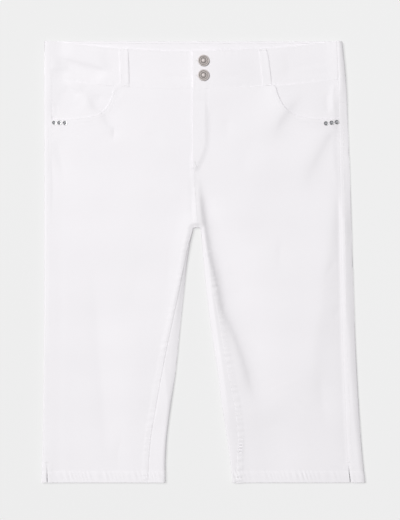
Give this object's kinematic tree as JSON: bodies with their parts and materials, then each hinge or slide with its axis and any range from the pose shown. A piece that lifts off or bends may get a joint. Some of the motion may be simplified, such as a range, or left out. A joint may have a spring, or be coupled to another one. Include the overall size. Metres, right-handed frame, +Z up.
{
  "type": "capri pants",
  "caption": "Women's white stretch-twill capri pants laid flat, front up, with scoop pockets trimmed in stones, a buttoned waistband, belt loops and notched hems.",
  "frame": {"origin": "centre of the outline, on the surface that the garment lies on", "axes": "+Z up off that surface, out of the front of the garment; +Y from the hems towards the waist; -X towards the wearer's right side"},
  "size_m": [0.487, 0.6632, 0.0152],
  "materials": {
    "twill": "matt white cotton stretch twill, topstitched in white",
    "button_metal": "aged silver-grey cast metal, satin",
    "crystal": "clear faceted stones, foil-backed, in metal cups"
  },
  "bodies": {
    "root": {"front_panel_right": "twill", "front_panel_left": "twill", "back_panel_right": "twill", "back_panel_left": "twill", "back_yoke_right": "twill", "back_yoke_left": "twill", "pocket_facing_right": "twill", "pocket_facing_left": "twill", "fly_facing": "twill", "waistband_front_right": "twill", "waistband_front_left": "twill", "waistband_back": "twill", "belt_loop_front_right": "twill", "belt_loop_front_left": "twill", "belt_loop_back_right": "twill", "belt_loop_back_left": "twill", "belt_loop_back_centre": "twill", "button_top": "button_metal", "button_bottom": "button_metal", "stone_right_1": "crystal", "stone_right_2": "crystal", "stone_right_3": "crystal", "stone_left_1": "crystal", "stone_left_2": "crystal", "stone_left_3": "crystal"}
  },
  "joints": []
}
